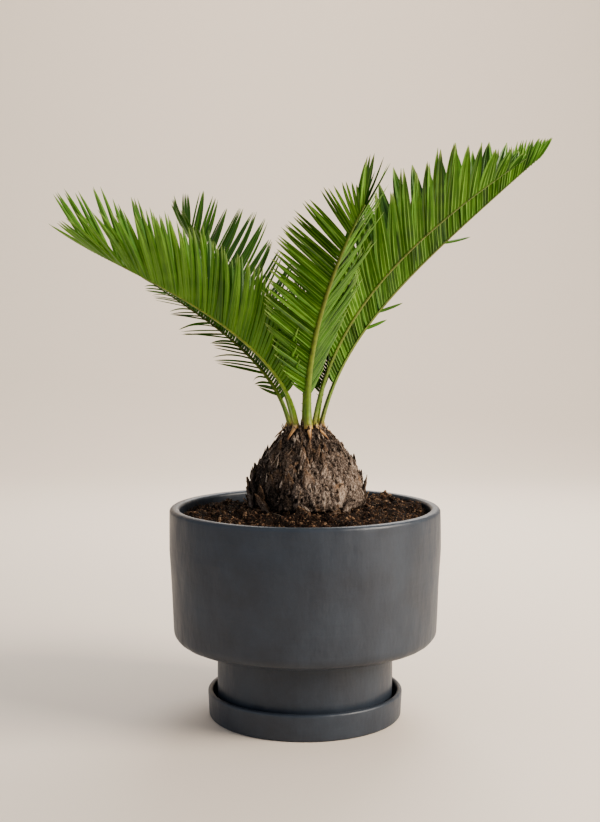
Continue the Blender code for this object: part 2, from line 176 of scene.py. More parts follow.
# A new Geometry Nodes tree, what adds its nodes, and its inputs, named by kind
def newTree(name, **inputs):
    tree = bpy.data.node_groups.new(name, "GeometryNodeTree")
    tree.interface.new_socket(name="Geometry", in_out="OUTPUT", socket_type="NodeSocketGeometry")
    for kind, labels in inputs.items():
        for label in labels:
            tree.interface.new_socket(name=label, in_out="INPUT", socket_type="NodeSocket" + kind)
    return tree, nodeAdder(tree), tree.nodes.new("NodeGroupInput").outputs


# Runs a tree on an object and returns the result as a plain mesh object
def grown(tree, host, name, values):
    modifier = host.modifiers.new("grow", "NODES")
    modifier.node_group = tree
    for item in tree.interface.items_tree:
        if item.in_out == "INPUT" and item.name in values:
            modifier[item.identifier] = values[item.name]
    graph = bpy.context.evaluated_depsgraph_get()
    mesh = bpy.data.meshes.new_from_object(host.evaluated_get(graph), preserve_all_data_layers=True,
                                           depsgraph=graph)
    mesh.name = name
    bpy.data.objects.remove(host)
    return newObject(name, mesh)


# Copies of a piece at each point, by the point's own turn and size, made real and then bent by
# its own bend, more and more towards their tips
def bentCopies(add, points, piece, picking):
    turn, size, bend = [add("InputNamedAttribute", {0: name}, data_type="FLOAT_VECTOR")
                        for name in ("turn", "size", "bend")]
    along = add("InputNamedAttribute", {0: "along"}, data_type="FLOAT")
    rotation = add("EulerToRotation", {0: turn})
    copies = add("InstanceOnPoints", {"Points": points, "Instance": piece, "Rotation": rotation,
                                      "Scale": size, **picking})
    real = add("RealizeInstances", {0: copies})
    squared = add("Math", {0: along, 1: 2.0}, operation="POWER")
    offset = add("VectorMath", {0: bend, "Scale": squared}, operation="SCALE")
    return add("SetPosition", {"Geometry": real, "Offset": offset})


# Points on an arc in a profile's plane, angles in degrees from +X
def arc(centre, radius, start, end, steps):
    angles = [radians(start + (end - start) * i / steps) for i in range(steps + 1)]
    return [(centre[0] + radius * cos(a), centre[1] + radius * sin(a)) for a in angles]


# Points between the ends of a plain stretch of a profile
def risers(start, end, steps):
    return [(start[0] + (end[0] - start[0]) * i / steps,
             start[1] + (end[1] - start[1]) * i / steps) for i in range(1, steps)]


# The cosine and sine of each corner of a ring
def corners(sides, turned=0.0):
    angles = [2 * pi * (k + turned) / sides for k in range(sides)]
    return [(cos(a), sin(a)) for a in angles]


# Quads between each ring of points and the next, and faces over both ends if it is capped
def sew(bm, rings, capped=False):
    for inner, outer in zip(rings, rings[1:]):
        for k in range(len(inner)):
            j = (k + 1) % len(inner)
            bm.faces.new((inner[k], outer[k], outer[j], inner[j]))
    if capped:
        bm.faces.new(rings[0])
        bm.faces.new(rings[-1])


# Triangles from a ring to a tip
def pointTo(bm, ring, tip):
    for k in range(len(ring)):
        bm.faces.new((ring[k], tip, ring[(k + 1) % len(ring)]))


# Camera, floor and light

camera = {"place": (-4.5, -1150, 363), "tiltDown": 4.53, "lens": 57.0}
studio = {  # metres
    "paper": "#ecdfd0", "width": 9.0, "front": -5.0, "bendFrom": 1.6, "bend": 1.5, "top": 4.0,
    "air": "#dfe2e8", "airStrength": 0.55,
}
lamps = {  # metres and watts
    "key": {"place": (1.45, -0.62, 0.95), "size": 0.9, "power": 46, "colour": "#fff4e6"},
    "fill": {"place": (-1.4, -1.0, 0.8), "size": 1.4, "power": 3, "colour": "#e8f0ff"},
    "back": {"place": (0.25, 1.2, 1.25), "size": 1.0, "power": 13, "colour": "#ffffff"},
    "wash": {"place": (0.0, 1.0, 2.0), "size": 2.0, "power": 38, "colour": "#fff6ea", "aim": (0, 3.1, 0.9)},
}


def buildCamera():
    data = bpy.data.cameras.new("photoCamera")
    data.lens = camera["lens"]
    data.sensor_width = 36
    data.dof.use_dof = False
    made = newObject("photoCamera", data)
    made.location = [c * mm for c in camera["place"]]
    made.rotation_euler = (radians(90 - camera["tiltDown"]), 0, 0)
    bpy.context.scene.camera = made
    bpy.context.scene.view_settings.look = "AgX - Medium High Contrast"


def buildLight():
    for name, lamp in lamps.items():
        data = bpy.data.lights.new(name, "AREA")
        data.size = lamp["size"]
        data.energy = lamp["power"]
        data.color = linear(lamp["colour"])[:3]
        made = newObject(name, data)
        made.location = lamp["place"]
        towards = Vector(lamp.get("aim", (0, 0, 0.25))) - made.location
        made.rotation_euler = towards.to_track_quat("-Z", "Y").to_euler()
    world = bpy.data.worlds.new("paleRoom")
    world.use_nodes = True
    feed(world.node_tree.nodes["Background"],
         {"Color": linear(studio["air"]), "Strength": studio["airStrength"]})
    bpy.context.scene.world = world


# Backdrop paper: even, dull and pale, with a trace of tooth in its sheen. It is one sheet, flat
# under the pot and then swept up behind it
def buildBackdrop():
    s = studio
    material, add, shader, tooth = newMaterial("backdropPaper", [], [(25, 4, 0.5)],
                                               Base_Color=linear(s["paper"]))
    feed(shader, {"Roughness": add("MapRange", {0: tooth, 3: 0.62, 4: 0.75})})
    bend = s["bend"]
    line = [(s["front"], 0)] + arc((s["bendFrom"], bend), bend, -90, 0, 32)
    line.append((s["bendFrom"] + bend, s["top"]))
    bm = bmesh.new()
    sides = [[bm.verts.new((x * s["width"] / 2, y, z)) for y, z in line] for x in (-1, 1)]
    for i in range(len(line) - 1):
        bm.faces.new((sides[0][i], sides[1][i], sides[1][i + 1], sides[0][i + 1]))
    mesh = bpy.data.meshes.new("backdrop")
    bm.to_mesh(mesh)
    bm.free()
    mesh.shade_smooth()
    newObject("backdrop", mesh, material)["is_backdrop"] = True


# Pot and saucer

potSizes = {  # millimetres
    "rimRadius": 120.0, "rimHeight": 187.0, "bellyRadius": 120.6, "bellyHeight": 150.0,
    "heelRadius": 117.2, "heelRound": 10.6, "underside": 68.2, "footRadius": 78.3, "footRound": 1.5,
    "base": 5.3, "wall": 8.8, "lipRound": 3.2, "seam": (0.6, 0.4), "sides": 180, "flatMiddle": 30,
    "dent": 1.2, "dentWidth": 25, "ripple": 0.5, "rippleWidth": 11,
}
saucerSizes = {
    "radius": 87.0, "height": 23.7, "wall": 4.7, "floor": 5.0, "draft": 1.0, "round": 2.0,
    "sides": 180, "flatMiddle": 30, "dent": 0.25, "dentWidth": 40, "ripple": 0.08, "rippleWidth": 15,
}


# Stoneware with a matt slate dip glaze, thrown on a wheel: barely cloudy, with a fine dry tooth
# and dull highlights that waver where the wall is dented
def mattStoneware():
    material, add, shader, patches, specks, rings, tooth, dapples = newMaterial(
        "mattStoneware", [], [
            (34, 4, 0.6), (0.9, 2, 0.5), (5, 1, 0.5, (0.08, 0.08, 1)),  # wheel marks run round the pot
            (0.35, 3, 0.5), (9, 2, 0.5, (1, 1, 0.45))], IOR=1.5)
    colour = add("ValToRGB", {0: summed(add, patches, (specks, 0.3))}, [(0.45, "#2e343d"), (0.85, "#38404a")])
    dull = add("MapRange", {0: patches, 1: 0.3, 2: 0.7, 3: 0.36, 4: 0.46})
    normal = {}
    for height, strength, depth in ((dapples, 0.4, 0.0014), (rings, 0.4, 0.0005), (tooth, 0.15, 0.00015)):
        normal = {"Normal": add("Bump", {"Strength": strength, "Distance": depth, "Height": height,
                                         **normal})}
    feed(shader, {"Base Color": colour, "Roughness": dull, **normal})
    return material


def potInside():
    p = potSizes
    wall, bend, lip, top = p["wall"], p["heelRound"], p["lipRound"], p["rimHeight"] - p["lipRound"]
    rim, heel, foot = p["rimRadius"] - wall, p["heelRadius"] - wall, p["footRadius"] - wall
    belly, shelf, floor = (p["bellyRadius"] - wall, p["bellyHeight"]), p["underside"] + wall, p["base"] + wall
    points = arc((rim + lip, top), lip, 90, 180, 5) + risers((rim, top), belly, 6)
    points += risers(belly, (heel, shelf + bend), 10)
    points += arc((heel - bend, shelf + bend), bend, 0, -90, 5)
    return points + [(foot, shelf), (foot, floor), (0, floor)]


def potProfile():
    p = potSizes
    foot, heel, rim, base, under = [p[key] for key in ("footRadius", "heelRadius", "rimRadius", "base",
                                                       "underside")]
    small, bend, lip, (seamOut, seamDrop) = p["footRound"], p["heelRound"], p["lipRound"], p["seam"]
    belly, top = (p["bellyRadius"], p["bellyHeight"]), p["rimHeight"] - lip
    points = [(0, base)] + arc((foot - small, base + small), small, -90, 0, 4)
    points += risers((foot, base), (foot, under), 10) + [(foot, under - seamDrop), (foot + seamOut, under)]
    points += arc((heel - bend, under + bend), bend, -90, 0, 9)
    points += risers((heel, under + bend), belly, 16) + [belly] + risers(belly, (rim, top), 7)
    return points + arc((rim - lip, top), lip, 0, 90, 6) + potInside()


def saucerProfile():
    s = saucerSizes
    edge, bend, floor = s["wall"] / 2, s["round"], s["floor"]
    foot, inner, top = s["radius"] - s["draft"], s["radius"] - s["wall"], s["height"] - s["wall"] / 2
    points = [(0, 0)] + arc((foot - bend, bend), bend, -90, 0, 5)
    points += risers((foot, bend), (s["radius"], top), 6)
    points += arc((s["radius"] - edge, top), edge, 0, 180, 10)
    points += risers((inner, top), (inner, floor + bend), 4)
    return points + arc((inner - bend, floor + bend), bend, 0, -90, 4) + [(0, floor)]


# Turns a profile about the upright axis, and presses broad dents and upright ripples into it
def thrown(name, profile, sizes, material):
    bm = bmesh.new()
    line = [bm.verts.new((radius * mm, 0, height * mm)) for radius, height in profile]
    edges = [bm.edges.new(pair) for pair in zip(line, line[1:])]
    bmesh.ops.spin(bm, geom=line + edges, cent=(0, 0, 0), axis=(0, 0, 1), angle=2 * pi, steps=sizes["sides"],
                   use_merge=True)
    bmesh.ops.remove_doubles(bm, verts=bm.verts, dist=1e-6)
    for vert in bm.verts:
        radius = hypot(vert.co.x, vert.co.y)
        if radius < sizes["flatMiddle"] * mm:
            continue
        press = 0
        for mark, squeeze in (("dent", 0.5), ("ripple", 0.25)):
            spot = Vector((vert.co.x, vert.co.y, vert.co.z * squeeze)) / (sizes[mark + "Width"] * mm)
            press += sizes[mark] * noise.noise(spot) / 2
        vert.co.x, vert.co.y = [c - c / radius * press * mm for c in vert.co[:2]]
    return shaped(name, bm, 40, material)


# Soil

soilSizes = {  # millimetres
    "atWall": 176.5, "atStem": 186.8, "stemSocket": 43.0, "rings": 46, "sides": 168, "gap": 0.3,
    "edgeGap": 0.6, "middle": 4.0, "wallDrop": 6, "underStem": 3,
    "lump": 4.6, "lumpWidth": 14, "crumb": 4.2, "crumbWidth": 5.5,
    # heaps: x, y, how high, how wide
    "heaps": [(74, 50, 7, 20), (102, 26, 6, 16), (-80, 20, 4, 20), (-94, -20, 3, 15), (30, -78, 2, 16),
              (-62, 70, -6, 36)],
}


# Peat and fine bark, moist, in dull brown crumbs. The bed under them has no shade mark, so it comes out
# almost black: painted shade in the gaps between crumbs
def moistPeat():
    material, add, shader, shade, crumbs, clumps = newMaterial(
        "moistPeat", ["shade"], [(1.1, 5, 0.7), (7, 2, 0.5)], Roughness=0.95, Specular_IOR_Level=0.25)
    # Without a shade mark the bed's tone stays low, which paints shade into the gaps
    tone = summed(add, -0.44, (crumbs, 0.9), (shade, 0.5), (clumps, 0.6))
    colour = add("ValToRGB", {0: tone},
                 [(0.2, "#120c08"), (0.44, "#2b1d14"), (0.64, "#543d2e"), (0.88, "#92775e")])
    bump = add("Bump", {"Strength": 0.8, "Distance": 0.0008, "Height": crumbs})
    feed(shader, {"Base Color": colour, "Normal": bump})
    return material


# Coir and bark shreds: dry, dull tan, some nearly as dark as the peat
def coirFibre():
    material, add, shader, shade = newMaterial("coirFibre", ["shade"], [], Roughness=0.85)
    stops = [(0.0, "#261a12"), (0.6, "#4a3626"), (0.92, "#7f6a54"), (1.0, "#a8947a")]
    feed(shader, {"Base Color": add("ValToRGB", {0: shade}, stops)})
    return material


# Perlite: puffed volcanic glass, chalk white with a grey pit or two
def perlite():
    material, add, shader, pits = newMaterial("perlite", [], [(0.6, 2, 0.5)], Roughness=0.8)
    feed(shader, {"Base Color": add("ValToRGB", {0: pits}, [(0.3, "#b8b2a8"), (0.6, "#e9e4da")])})
    return material


def soilHeight(x, y):  # millimetres
    s = soilSizes
    wall = potSizes["rimRadius"] - potSizes["wall"]
    share = clamp((wall - hypot(x, y)) / (wall - s["stemSocket"]))
    height = s["atWall"] + (s["atStem"] - s["atWall"]) * sin(share * pi / 2)
    for heapX, heapY, high, wide in s["heaps"]:
        height += high * exp(-((x - heapX) ** 2 + (y - heapY) ** 2) / wide ** 2)
    height += s["lump"] * noise.noise(Vector((x, y, 0)) / s["lumpWidth"])
    return height + s["crumb"] * noise.noise(Vector((x, y, 7)) / s["crumbWidth"])


def soilTop(bm, innerRadius):
    s = soilSizes
    edge = potSizes["rimRadius"] - potSizes["wall"] - s["gap"] - s["edgeGap"]
    rings = []
    for i in range(s["rings"] + 1):
        radius = innerRadius + (edge - innerRadius) * i / s["rings"]
        spots = [(radius * c, radius * d) for c, d in corners(s["sides"])]
        rings.append([bm.verts.new((x * mm, y * mm, soilHeight(x, y) * mm)) for x, y in spots])
    sew(bm, rings)
    return rings


# The bed fills the pot down to its floor, and its top has the heaps and lumps
def soilBed(material):
    s = soilSizes
    bm = bmesh.new()
    rings = soilTop(bm, s["middle"])
    bm.faces.new(reversed(rings[0]))
    lower = [rings[-1]]
    for radius, height in potInside():
        if height < s["atWall"] - s["wallDrop"] and radius > 0:
            out, high = (radius - s["gap"]) * mm, (height + s["gap"]) * mm
            lower.append([bm.verts.new((out * c, out * d, high)) for c, d in corners(s["sides"])])
    sew(bm, lower)
    bm.faces.new(lower[-1])
    return shaped("soilBed", bm, 60, material)


# Strews copies of one piece over a surface, each with its own size, turn and shade
def strewTree():
    tree, add, given = newTree(
        "strew", Geometry=["Geometry"], Object=["Piece"], Material=["Material"], Int=["Seed"],
        Float=["Density", "Smallest", "Largest", "Lean Out", "Lean Up", "Upright"])
    points = add("DistributePointsOnFaces",
                 {"Mesh": given["Geometry"], "Density": given["Density"], "Seed": given["Seed"]})
    shade = add("RandomValue", {"Seed": 11})
    marked = add("StoreNamedAttribute", {"Geometry": points, "Name": "shade", "Value": shade})
    size = add("RandomValue", {2: given["Smallest"], 3: given["Largest"], "Seed": 12})
    spin, stray = [add("RandomValue", {0: (-most,) * 3, 1: (most,) * 3, "Seed": seed},
                       data_type="FLOAT_VECTOR") for most, seed in ((pi, 13), (0.6, 14))]
    outward = add("VectorMath", {0: points.outputs["Normal"], "Scale": given["Lean Out"]}, operation="SCALE")
    lean = add("VectorMath", {0: outward, 1: add("CombineXYZ", {"Z": given["Lean Up"]})})
    lean = add("VectorMath", {0: lean, 1: stray})
    loose = add("EulerToRotation", {0: spin})
    turn = add("AlignRotationToVector", {"Rotation": loose, "Factor": given["Upright"], "Vector": lean},
               axis="Z")
    piece = add("ObjectInfo", {"Object": given["Piece"]}).outputs["Geometry"]
    copies = add("InstanceOnPoints", {"Points": marked, "Instance": piece, "Rotation": turn, "Scale": size})
    real = add("RealizeInstances", {0: copies})
    done = add("SetMaterial", {"Geometry": real, "Material": given["Material"]})
    add("NodeGroupOutput", {0: done})
    return tree


# Strews a piece over a host: how many to a square metre, its sizes in millimetres, and how far it
# leans out, leans up and stands
def strewn(strew, name, host, piece, material, density, sizes, stance, seed):
    leanOut, leanUp, upright = stance
    return grown(strew, host, name, {
        "Piece": piece, "Material": material, "Density": float(density), "Smallest": sizes[0] * mm,
        "Largest": sizes[1] * mm, "Lean Out": leanOut, "Lean Up": leanUp, "Upright": upright, "Seed": seed})


# An irregular lump, one unit across. A fine one has 20 faces and a coarse one 24 larger ones
def crumbPiece(seed, fine):
    bm = bmesh.new()
    if fine:
        bmesh.ops.create_icosphere(bm, subdivisions=1, radius=1)
    else:
        bmesh.ops.create_cube(bm, size=1)
        bmesh.ops.subdivide_edges(bm, edges=bm.edges, cuts=1, use_grid_fill=True)
    for vert in bm.verts:
        rounded = vert.co.normalized() * 0.5
        uneven = noise.noise_vector(rounded * 3.1 + Vector((seed, 0, 0)))
        vert.co = rounded * (0.85 + 0.7 * noise.noise(rounded * 4 + Vector((seed, 9, 0)))) + uneven * 0.18
    return shaped(f"crumb{seed}", bm, None)


# A thin bent strand, one unit long, standing on its root
def strandPiece(name, thickness, bend):
    rows, sides = 4, 3
    bm = bmesh.new()
    rings = []
    for i in range(rows):
        t = i / rows
        half = thickness * (1 - t) ** 0.7 / 2
        rings.append([bm.verts.new((half * c + bend * t * t, half * d, t)) for c, d in corners(sides)])
    tip = bm.verts.new((bend, 0, 1))
    sew(bm, rings)
    bm.faces.new(rings[0])
    pointTo(bm, rings[-1], tip)
    return shaped(name, bm, 60)


def buildSoil(strew):
    peat, coir, grit = moistPeat(), coirFibre(), perlite()
    crumb, clod = crumbPiece(1, True), crumbPiece(5, False)
    strand = strandPiece("shred", 0.09, 0.45)
    layers = {"soilCrumbs": (crumb, peat, 225000, (0.8, 2.2), (1.0, 0.0, 0.0)),
              "soilClods": (clod, peat, 30000, (2.0, 4.4), (1.0, 0.0, 0.0)),
              "soilFibres": (strand, coir, 20000, (2.0, 6.0), (1.0, 0.0, 0.3)),
              "soilGrit": (crumb, grit, 500, (0.7, 1.2), (1.0, 0.0, 0.0))}
    pieces = [soilBed(peat)]
    for seed, (name, layer) in enumerate(layers.items(), 21):
        bm = bmesh.new()
        soilTop(bm, soilSizes["stemSocket"] - soilSizes["underStem"])
        host = shaped(name + "Host", bm, None)
        if host.data.polygons[0].normal.z < 0:
            host.data.flip_normals()
        pieces.append(strewn(strew, name, host, *layer, seed))
    for piece in (crumb, clod, strand):
        bpy.data.objects.remove(piece)
    return pieces


# Stem

stemSizes = {  # millimetres
    "foot": 176.0, "socket": 43.0, "radius": 51.5, "widestAt": 195.0, "inSocket": 6, "tuck": 0.06,
    "full": 0.85, "heelHigh": 13, "heelFacing": 0.975,  # its depth, and its half-width as a cosine
    "top": 257.5, "topRadius": 16.8, "core": 2.4, "coreRows": 150, "coreSides": 300,
    "plates": 4.6, "plateHigh": 1.2, "warp": 2.6, "fissures": 2.0, "fissureDeep": 1.5, "barkSink": 0.6,
    "shift": 1.5, "wornTowards": (0.66, -0.75), "wornBelow": 240, "wornProud": 2.2,
    "tornAt": (9, -46, 224), "tornReach": 14,
    "bases": 220, "basesFrom": 6, "basesTo": 5, "baseSunk": 1.0, "baseDrop": 4,
    "baseWidth": (9.5, 14), "baseLength": (13, 22), "baseThick": 4.0,
    "flare": (5, 22), "tornFlare": 14, "skew": 14, "shrinkAtTop": 0.4,
    "flakes": 420, "flakeWidth": (1.0, 3.0), "flakeLength": (4, 12), "flakeThick": 1.2,
}


# Old leaf bases: the woody stubs of shed fronds, weathered to a fibrous grey-brown, with tan where
# an edge is frayed. Shade is painted into the clefts between them: near black on the bark, and darker along
# each piece's edges
def weatheredLeafBase():
    bark = [(0.36, "#110c09"), (0.5, "#382d25"), (0.68, "#72645a"), (0.9, "#baaa9a")]
    torn = [(0.35, "#48352a"), (0.52, "#84684f"), (0.7, "#b79a7c")]
    material, add, shader, shade, edge, frayed, fibres, flakes = newMaterial(
        "weatheredLeafBase", ["shade", "edge", "tan"], [(0.9, 6, 0.75, (1, 1, 0.5)), (2.6, 4, 0.65)],
        Roughness=0.88, Specular_IOR_Level=0.3)
    feed(flakes, {"Distortion": 1.2})
    rough = summed(add, -0.33, (fibres, 1.1), (flakes, 0.45))
    # Painted shade: the tone drops along each piece's edges, as the shade in the clefts between leaf bases
    colour = add("ValToRGB", {0: summed(add, rough, (shade, 0.42), (edge, -0.28))}, bark)
    warm = add("ValToRGB", {0: flakes}, torn)
    mixed = add("Mix", {0: frayed, 6: colour, 7: warm}, data_type="RGBA")
    bump = add("Bump", {"Strength": 0.9, "Distance": 0.0008, "Height": rough})
    feed(shader, {"Base Color": mixed, "Normal": bump})
    return material


def stemRadius(height):  # millimetres
    s = stemSizes
    share = clamp((height - s["widestAt"]) / (s["top"] - s["widestAt"]))
    tuck = s["tuck"] * max(0.0, s["widestAt"] - height) ** 2
    return s["topRadius"] + (s["radius"] - s["topRadius"]) * cos(share * pi / 2) ** s["full"] - tuck


# 1 low on the side where the leaf bases have rotted off and left the pale bark, elsewhere 0
def wornShare(angle, height):
    s = stemSizes
    facing = cos(angle) * s["wornTowards"][0] + sin(angle) * s["wornTowards"][1]
    return clamp(2.4 * (facing - 0.45)) * clamp((s["wornBelow"] - height) / 22)


# 1 in the middle of the patch of torn, curling leaf bases, 0 away from it
def tornShare(spot):
    return clamp(1.5 - (spot - Vector(stemSizes["tornAt"])).length / stemSizes["tornReach"])


# The bark at an angle and height: its radius, and the ways out, up along it, across and off it
def barkFrame(angle, height):
    radius = stemRadius(height)
    out = level(angle)
    rise = (upward + out * (stemRadius(height + 1) - radius)).normalized()
    side = out.cross(rise).normalized()
    return radius, out, rise, side, rise.cross(side).normalized()


# How far the bark stands out at a place: its plates, and its fissures that run up it
def barkRelief(spot):
    s = stemSizes
    warped = spot + noise.noise_vector(spot / 4) * s["warp"]
    gaps = noise.voronoi(Vector((warped.x, warped.y, warped.z * 0.5)) / s["plates"])[0]
    plate = clamp((gaps[1] - gaps[0]) / 0.22) * s["plateHigh"]
    tall = Vector((spot.x, spot.y, spot.z * 0.25)) / s["fissures"]
    return plate, noise.fractal(tall, 0.9, 2.1, 4) * s["fissureDeep"]


# The pith column with its bark, closed at both ends
def stemCore(material):
    s = stemSizes
    bm = bmesh.new()
    shade, tan = bm.verts.layers.float.new("shade"), bm.verts.layers.float.new("tan")
    rings = []
    for i in range(s["coreRows"] + 1):
        height = s["foot"] + (s["top"] - s["foot"]) * sin(i / s["coreRows"] * pi / 2)
        ring = []
        for k in range(s["coreSides"]):
            angle = 2 * pi * k / s["coreSides"]
            worn = wornShare(angle, height)
            radius = stemRadius(height) - s["core"] + s["wornProud"] * worn
            if height < s["widestAt"] - s["inSocket"]:
                radius = s["socket"] - s["core"]  # it stands in the soil's socket here
            out = level(angle)
            spot = out * radius + upward * height
            plate, fissure = barkRelief(spot)
            vert = bm.verts.new((spot + out * (plate + fissure - s["barkSink"])) * mm)
            # Painted shade: the bark is dark overall, as the shade in the clefts between leaf bases, and
            # darker still down its fissures and between its plates; the worn side is paler bark
            vert[shade] = clamp(0.26 * plate + 0.3 * fissure - 0.1 + 0.3 * worn)
            vert[tan] = clamp(4 * noise.noise(spot / 9) - 1.6) * clamp(plate)
            ring.append(vert)
        rings.append(ring)
    sew(bm, rings, capped=True)
    return shaped("stemCore", bm, 75, material)


# One leaf base, a unit wide and long: thick at its root, ragged and thin at its tip
def leafBasePiece(seed):
    dice = random.Random(seed)
    lean, widest, rows = 0.16 * dice.uniform(-1, 1), dice.uniform(0.25, 0.45), 11
    bm = bmesh.new()
    along, edge = bm.verts.layers.float.new("along"), bm.verts.layers.float.new("edge")
    rings = []
    for i in range(rows):
        t = 0.95 * i / (rows - 1)
        half = 0.34 + 0.16 * t / widest if t < widest else 0.5 * (1 - ((t - widest) / (1 - widest)) ** 1.5)
        thick = (1 - t) ** 0.8 + 0.06
        ring = []
        for k in range(9):  # its outer face
            side = k / 4 - 1
            spot = Vector((side * 2.2, t * 5, seed * 7))
            rough = 1 + 0.5 * noise.noise(spot) + 0.3 * noise.noise(spot * 3)
            ragged = 1 + 0.35 * noise.noise(Vector((k // 5 * 9, t * 8, seed)))
            high = thick * (1 - 0.55 * side**4) * rough
            ring.append(bm.verts.new((side * half * ragged + lean * t * t, t, high)))
            # The edge mark, 1 at the sides and tip, lets the material paint shade along the edges and tan
            # where they fray
            ring[-1][edge] = max(side**4, 0.6 * t**4)
        for side in (0.5, 0, -0.5):  # its back
            ring.append(bm.verts.new((side * half + lean * t * t, t, -0.15 * thick)))
        for vert in ring:
            vert[along] = t
        rings.append(ring)
    tip = bm.verts.new((lean, 1 + 0.08 * dice.uniform(-1, 1), 0.02))
    tip[along] = tip[edge] = 1
    sew(bm, rings)
    bm.faces.new(rings[0])
    pointTo(bm, rings[-1], tip)
    return shaped(f"leafBase{seed}", bm, None)


# Sets the pieces of a collection at the points of a cloud. Tan shows most at their edges and tips
def setPiecesTree():
    tree, add, given = newTree("setPieces", Geometry=["Geometry"], Collection=["Pieces"],
                               Material=["Material"], Int=["Seed"])
    pieces = add("CollectionInfo",
                 {"Collection": given["Pieces"], "Separate Children": True, "Reset Children": True})
    pick = add("RandomValue", {4: 0, 5: 99, "Seed": given["Seed"]}, data_type="INT")
    bent = bentCopies(add, given["Geometry"], pieces, {"Pick Instance": True, "Instance Index": pick})
    along, edge, tan = [add("InputNamedAttribute", {0: name}, data_type="FLOAT")
                        for name in ("along", "edge", "tan")]
    frayed = add("Math", {0: along, 1: tan}, operation="MULTIPLY")
    rimmed = add("Math", {0: summed(add, 0.35, (edge, 0.8)), 1: frayed}, operation="MULTIPLY")
    edged = add("StoreNamedAttribute", {"Geometry": bent, "Name": "tan", "Value": rimmed})
    done = add("SetMaterial", {"Geometry": edged, "Material": given["Material"]})
    add("NodeGroupOutput", {0: done})
    return tree


def onHeel(angle, height):
    heels = [atan2(f["foot"][1], f["foot"][0]) for f in fronds.values()]
    high = height > stemSizes["top"] - stemSizes["heelHigh"]
    return high and any(cos(angle - heel) > stemSizes["heelFacing"] for heel in heels)


# Where each leaf base sits: a golden-angle spiral up the stem, its tip pointing up and out.
# Some are gone from the worn side, those of one patch are torn, and none covers a petiole's heel
def leafBaseRows():
    s = stemSizes
    dice = random.Random(7)
    bottom, top = s["foot"] + s["basesFrom"], s["top"] - s["basesTo"]
    rows = []
    for i in range(s["bases"]):
        share = (i + 0.5) / s["bases"]
        height = bottom + (top - bottom) * sin(share ** 1.05 * pi / 2)
        angle = i * goldenAngle + dice.uniform(-0.09, 0.09)
        radius, out, rise, side, facing = barkFrame(angle, height)
        worn, torn = wornShare(angle, height), tornShare(out * radius + upward * height)
        flare = radians(dice.uniform(*s["flare"]) * (1 - 0.8 * worn) + s["tornFlare"] * torn)
        along = rise * cos(flare) + facing * sin(flare)
        skew = radians(dice.uniform(-s["skew"], s["skew"]))
        across = along.cross(facing).normalized()
        along = (along * cos(skew) + across * sin(skew)).normalized()
        shrink = 1 - s["shrinkAtTop"] * clamp((height - s["widestAt"]) / (s["top"] - s["widestAt"])) ** 1.6
        width = dice.uniform(*s["baseWidth"]) * shrink * (1 - 0.45 * torn)
        length = dice.uniform(*s["baseLength"]) * shrink
        length = min(length, (s["top"] + 3 - height) / max(0.3, along.z))  # none rises above the crown
        row = pointRow(
            out * (radius - s["core"] - s["baseSunk"]) + upward * (height - s["baseDrop"]),
            along.cross(facing).normalized(), along, (width, length, s["baseThick"] * shrink),
            facing * length * (dice.uniform(0.02, 0.2) + 0.2 * torn),
            shade=clamp(0.05 + 0.5 * dice.random() + 0.45 * worn),
            tan=clamp(1.6 * dice.random() ** 2.5 - 0.1 + torn))
        if dice.random() > 0.25 * worn and not onHeel(angle, height + length / 2):
            rows.append(row)
    return rows


# Torn flakes and fibres of the leaf bases, lying on the bark every way but mostly upright
def flakeRows():
    s = stemSizes
    dice = random.Random(23)
    rows = []
    for i in range(s["flakes"]):
        height = s["foot"] + 8 + (s["top"] - s["foot"] - 14) * sin(dice.random() * pi / 2)
        angle = dice.uniform(0, 2 * pi)
        radius, out, rise, side, facing = barkFrame(angle, height)
        skew, flare = radians(dice.gauss(0, 15)), radians(dice.uniform(2, 18))
        along = (rise * cos(skew) + side * sin(skew)) * cos(flare) + facing * sin(flare)
        worn, torn = wornShare(angle, height), tornShare(out * radius + upward * height)
        length = dice.uniform(*s["flakeLength"]) * (1 - 0.4 * worn)
        if onHeel(angle, height + length / 2):
            continue
        rows.append(pointRow(
            out * (radius + 0.1) + upward * (height - length / 3), along.cross(facing).normalized(), along,
            (dice.uniform(*s["flakeWidth"]), length, s["flakeThick"]),
            (facing * dice.uniform(-0.05, 0.15) + side * dice.uniform(-0.2, 0.2)) * length,
            shade=clamp(0.15 + 0.75 * dice.random() ** 1.5 + 0.25 * worn),
            tan=clamp(2.2 * dice.random() ** 4 - 0.1 + torn)))
    return rows


# Sets leaf bases of these seeds at the points of each layer, picked at random
def setBases(setPieces, name, seeds, layers, bark):
    variants = [leafBasePiece(seed) for seed in seeds]
    pieces = bpy.data.collections.new(name)
    for piece in variants:
        pieces.objects.link(piece)
    made = [grown(setPieces, pointCloud(title + "Host", rows), title,
                  {"Pieces": pieces, "Material": bark, "Seed": seed}) for title, rows, seed in layers]
    for piece in variants:
        bpy.data.objects.remove(piece)
    return made


def buildStem(setPieces, strew):
    bark = weatheredLeafBase()
    armour, flakes = setBases(setPieces, "leafBasePieces", range(6), (
        ("stemArmour", leafBaseRows(), 3), ("stemFlakes", flakeRows(), 4)), bark)
    spine, hair = strandPiece("spine", 0.2, 0.12), strandPiece("hair", 0.06, 0.3)
    pieces = [stemCore(bark), armour, flakes]
    strands = {"stemSpines": (spine, bark, 3500, (2.0, 6.5), (0.7, 1.3, 1.0)),
               "stemHairs": (hair, bark, 9000, (1.5, 5.0), (0.8, 0.9, 1.0))}
    for seed, (name, layer) in enumerate(strands.items(), 31):
        host = newObject(name + "Host", armour.data.copy())
        pieces.append(strewn(strew, name, host, *layer, seed))
    for piece in (spine, hair):
        bpy.data.objects.remove(piece)
    for piece in pieces:
        piece.data.transform(Matrix.Translation((stemSizes["shift"] * mm, 0, 0)))
    return pieces


# Fronds

